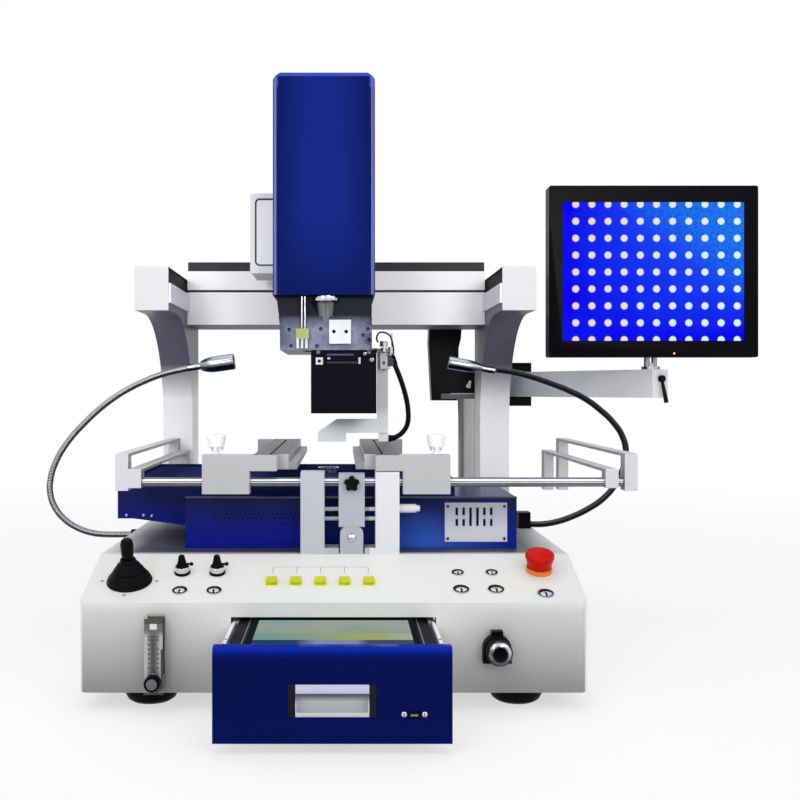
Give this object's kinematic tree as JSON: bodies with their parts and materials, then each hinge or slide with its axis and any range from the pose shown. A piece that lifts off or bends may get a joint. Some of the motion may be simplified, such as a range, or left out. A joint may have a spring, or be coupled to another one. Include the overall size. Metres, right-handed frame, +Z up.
{
  "type": "rework station",
  "caption": "Bench rework station: gantry with heating head, board clamp over a preheater, touch-screen drawer, swing-out monitor and two gooseneck lamps.",
  "frame": {"origin": "middle of the console's footprint, on the bench", "axes": "+X to the right across the front, +Y to the back, +Z up"},
  "size_m": [1.2159, 0.9705, 0.951],
  "materials": {
    "white_paint": "satin",
    "galvanised_pan": "satin",
    "black_rubber": "matte",
    "tray_paint": "satin",
    "drawer_blue": "gloss",
    "pull_silver": "satin",
    "touch_glass": "gloss",
    "fittings_metal": "polished",
    "black_plastic": "satin",
    "bright_steel": "brushed",
    "button_yellow": "satin",
    "stop_red": "gloss",
    "clear_acrylic": "clear",
    "arm_white": "painted",
    "head_blue": "gloss",
    "carriage_alloy": "satin",
    "hose_black": "satin",
    "optics_black": "satin",
    "black_alloy": "anodised",
    "tube_silver": "anodised",
    "screen_glass": "glowing",
    "rod_chrome": "polished",
    "frame_white": "painted",
    "knob_white": "matte",
    "heater_blue": "satin"
  },
  "bodies": {
    "console": {"base_housing": "white_paint", "base_pan": "galvanised_pan", "feet": "black_rubber", "panel_fittings": "fittings_metal", "joystick_boot": "black_rubber", "flow_meter": "clear_acrylic", "gantry_arms": "arm_white", "monitor_bracket": "black_alloy", "table_supports": "carriage_alloy", "heater_box": "heater_blue", "vent_panel": "bright_steel", "lower_nozzle": "bright_steel", "lamp_necks": "bright_steel"},
    "drawer": {"drawer_tray": "tray_paint", "drawer_front": "drawer_blue", "drawer_pull": "pull_silver", "touch_screen": "touch_glass"},
    "joystick_gimbal": {"joystick_gimbal": "bright_steel"},
    "joystick_lever": {"joystick_lever": "black_plastic"},
    "left_dimmer": {"left_dimmer": "black_plastic"},
    "right_dimmer": {"right_dimmer": "black_plastic"},
    "square_button_1": {"square_button_1": "button_yellow"},
    "square_button_2": {"square_button_2": "button_yellow"},
    "square_button_3": {"square_button_3": "button_yellow"},
    "square_button_4": {"square_button_4": "button_yellow"},
    "square_button_5": {"square_button_5": "button_yellow"},
    "round_button_1": {"round_button_1": "bright_steel"},
    "round_button_2": {"round_button_2": "bright_steel"},
    "round_button_3": {"round_button_3": "bright_steel"},
    "round_button_4": {"round_button_4": "bright_steel"},
    "round_button_5": {"round_button_5": "bright_steel"},
    "round_button_6": {"round_button_6": "bright_steel"},
    "round_button_7": {"round_button_7": "bright_steel"},
    "stop_plunger": {"stop_plunger": "black_plastic"},
    "stop_head": {"stop_head": "stop_red"},
    "flow_float": {"flow_float": "bright_steel"},
    "flow_knob": {"flow_knob": "black_plastic"},
    "turns_knob": {"turns_knob": "bright_steel"},
    "cross_beam": {"cross_beam": "arm_white"},
    "head": {"head_cover": "head_blue", "head_side_box": "white_paint"},
    "lift": {"head_carriage": "carriage_alloy", "crank_bracket": "carriage_alloy", "sensor_hose": "hose_black"},
    "optics": {"optics_box": "optics_black"},
    "upper_nozzle": {"upper_nozzle": "bright_steel"},
    "swing_arm": {"swing_arm": "tube_silver"},
    "clamp_lever": {"clamp_lever": "black_plastic"},
    "monitor_post": {"monitor_post": "rod_chrome"},
    "monitor": {"monitor_shell": "black_plastic", "monitor_screen": "screen_glass"},
    "table": {"table_rods": "rod_chrome", "end_frames": "frame_white"},
    "left_jaw": {"left_jaw": "frame_white"},
    "right_jaw": {"right_jaw": "frame_white"},
    "left_thumb_knob": {"left_thumb_knob": "knob_white"},
    "right_thumb_knob": {"right_thumb_knob": "knob_white"},
    "star_knob": {"star_knob": "black_plastic"},
    "left_lamp": {"left_lamp": "bright_steel"},
    "right_lamp": {"right_lamp": "bright_steel"}
  },
  "joints": [
    {"name": "drawer_slide", "type": "slide", "parent": "console", "child": "drawer", "axis": [0, 1, 0], "range_m": [-0.09, 0.1515]},
    {"name": "joystick_pitch", "type": "hinge", "parent": "console", "child": "joystick_gimbal", "pos_m": [-0.285, -0.33627, 0.16404], "axis": [1, 0, 0], "range_deg": [-14, 14], "stiffness_Nm_per_rad": 0.15, "deforming": ["joystick_boot"]},
    {"name": "joystick_roll", "type": "hinge", "parent": "joystick_gimbal", "child": "joystick_lever", "pos_m": [-0.285, -0.33627, 0.16404], "axis": [0, 0.9426, 0.334], "range_deg": [-14, 14], "stiffness_Nm_per_rad": 0.15},
    {"name": "left_dimmer_turn", "type": "hinge", "parent": "console", "child": "left_dimmer", "pos_m": [-0.2145, -0.31459, 0.17172], "axis": [0, 0.334, -0.9426], "range_deg": [-150, 150]},
    {"name": "right_dimmer_turn", "type": "hinge", "parent": "console", "child": "right_dimmer", "pos_m": [-0.165, -0.31459, 0.17172], "axis": [0, 0.334, -0.9426], "range_deg": [-150, 150]},
    {"name": "square_button_1_push", "type": "slide", "parent": "console", "child": "square_button_1", "axis": [0, 0.334, -0.9426], "range_m": [0, 0.0025], "stiffness_N_per_m": 300, "springref_m": -0.002},
    {"name": "square_button_2_push", "type": "slide", "parent": "console", "child": "square_button_2", "axis": [0, 0.334, -0.9426], "range_m": [0, 0.0025], "stiffness_N_per_m": 300, "springref_m": -0.002},
    {"name": "square_button_3_push", "type": "slide", "parent": "console", "child": "square_button_3", "axis": [0, 0.334, -0.9426], "range_m": [0, 0.0025], "stiffness_N_per_m": 300, "springref_m": -0.002},
    {"name": "square_button_4_push", "type": "slide", "parent": "console", "child": "square_button_4", "axis": [0, 0.334, -0.9426], "range_m": [0, 0.0025], "stiffness_N_per_m": 300, "springref_m": -0.002},
    {"name": "square_button_5_push", "type": "slide", "parent": "console", "child": "square_button_5", "axis": [0, 0.334, -0.9426], "range_m": [0, 0.0025], "stiffness_N_per_m": 300, "springref_m": -0.002},
    {"name": "round_button_1_push", "type": "slide", "parent": "console", "child": "round_button_1", "axis": [0, 0.334, -0.9426], "range_m": [0, 0.0015], "stiffness_N_per_m": 400, "springref_m": -0.002},
    {"name": "round_button_2_push", "type": "slide", "parent": "console", "child": "round_button_2", "axis": [0, 0.334, -0.9426], "range_m": [0, 0.0015], "stiffness_N_per_m": 400, "springref_m": -0.002},
    {"name": "round_button_3_push", "type": "slide", "parent": "console", "child": "round_button_3", "axis": [0, 0.334, -0.9426], "range_m": [0, 0.0015], "stiffness_N_per_m": 400, "springref_m": -0.002},
    {"name": "round_button_4_push", "type": "slide", "parent": "console", "child": "round_button_4", "axis": [0, 0.334, -0.9426], "range_m": [0, 0.0015], "stiffness_N_per_m": 400, "springref_m": -0.002},
    {"name": "round_button_5_push", "type": "slide", "parent": "console", "child": "round_button_5", "axis": [0, 0.334, -0.9426], "range_m": [0, 0.0015], "stiffness_N_per_m": 400, "springref_m": -0.002},
    {"name": "round_button_6_push", "type": "slide", "parent": "console", "child": "round_button_6", "axis": [0, 0.334, -0.9426], "range_m": [0, 0.0015], "stiffness_N_per_m": 400, "springref_m": -0.002},
    {"name": "round_button_7_push", "type": "slide", "parent": "console", "child": "round_button_7", "axis": [0, 0.334, -0.9426], "range_m": [0, 0.0015], "stiffness_N_per_m": 400, "springref_m": -0.002},
    {"name": "stop_push", "type": "slide", "parent": "console", "child": "stop_plunger", "axis": [0, 0.334, -0.9426], "range_m": [0, 0.004], "stiffness_N_per_m": 800, "springref_m": -0.004},
    {"name": "stop_release", "type": "hinge", "parent": "stop_plunger", "child": "stop_head", "pos_m": [0.291, -0.30894, 0.17372], "axis": [0, 0.334, -0.9426], "range_deg": [0, 45], "stiffness_Nm_per_rad": 0.05, "springref_deg": -17.19},
    {"name": "flow_float_rise", "type": "slide", "parent": "console", "child": "flow_float", "axis": [0, 0, 1], "range_m": [0, 0.054]},
    {"name": "flow_knob_turn", "type": "hinge", "parent": "console", "child": "flow_knob", "pos_m": [-0.238, -0.414, 0.0447], "axis": [0, -1, 0], "range_deg": [-720, 720]},
    {"name": "turns_knob_turn", "type": "hinge", "parent": "console", "child": "turns_knob", "pos_m": [0.2185, -0.402, 0.085], "axis": [0, -1, 0], "range_deg": [0, 3600]},
    {"name": "beam_slide", "type": "slide", "parent": "console", "child": "cross_beam", "axis": [0, -1, 0], "range_m": [0, 0.19]},
    {"name": "head_slide", "type": "slide", "parent": "cross_beam", "child": "head", "axis": [1, 0, 0], "range_m": [-0.05, 0.05]},
    {"name": "head_lift", "type": "slide", "parent": "head", "child": "lift", "axis": [0, 0, 1], "range_m": [0, 0.07]},
    {"name": "optics_slide", "type": "slide", "parent": "lift", "child": "optics", "axis": [0, 1, 0], "range_m": [0, 0.1]},
    {"name": "nozzle_turn", "type": "hinge", "parent": "lift", "child": "upper_nozzle", "pos_m": [-0.0185, -0.0213, 0.56], "axis": [0, 0, 1], "range_deg": [-60, 60]},
    {"name": "arm_swing", "type": "hinge", "parent": "console", "child": "swing_arm", "pos_m": [0.373, 0.355, 0.4405], "axis": [0, 0, 1], "range_deg": [0, 55]},
    {"name": "lever_turn", "type": "hinge", "parent": "swing_arm", "child": "clamp_lever", "pos_m": [0.56963, 0.03933, 0.45], "axis": [0.5287, -0.8488, 0], "range_deg": [-60, 60]},
    {"name": "post_swivel", "type": "hinge", "parent": "swing_arm", "child": "monitor_post", "pos_m": [0.558, 0.058, 0.4665], "axis": [0, 0, 1], "range_deg": [-9, 30]},
    {"name": "monitor_tilt", "type": "hinge", "parent": "monitor_post", "child": "monitor", "pos_m": [0.558, 0.058, 0.632], "axis": [1, 0, 0], "range_deg": [-15, 10]},
    {"name": "table_slide", "type": "slide", "parent": "console", "child": "table", "axis": [1, 0, 0], "range_m": [0, 0.04]},
    {"name": "left_jaw_slide", "type": "slide", "parent": "table", "child": "left_jaw", "axis": [1, 0, 0], "range_m": [-0.08, 0.025]},
    {"name": "right_jaw_slide", "type": "slide", "parent": "table", "child": "right_jaw", "axis": [1, 0, 0], "range_m": [0, 0.1]},
    {"name": "left_thumb_turn", "type": "hinge", "parent": "left_jaw", "child": "left_thumb_knob", "pos_m": [-0.175, -0.244, 0.335], "axis": [0, 0, 1], "range_deg": [-720, 720]},
    {"name": "right_thumb_turn", "type": "hinge", "parent": "right_jaw", "child": "right_thumb_knob", "pos_m": [0.151, -0.244, 0.335], "axis": [0, 0, 1], "range_deg": [-720, 720]},
    {"name": "star_knob_turn", "type": "hinge", "parent": "console", "child": "star_knob", "pos_m": [0.0255, -0.263, 0.294], "axis": [0, -1, 0], "range_deg": [-720, 720]},
    {"name": "left_lamp_bend", "type": "hinge", "parent": "console", "child": "left_lamp", "pos_m": [-0.432, 0.002, 0.373], "axis": [0, 1, 0], "range_deg": [-20, 20]},
    {"name": "right_lamp_bend", "type": "hinge", "parent": "console", "child": "right_lamp", "pos_m": [0.507, 0.03, 0.322], "axis": [0, 1, 0], "range_deg": [-20, 12]}
  ]
}
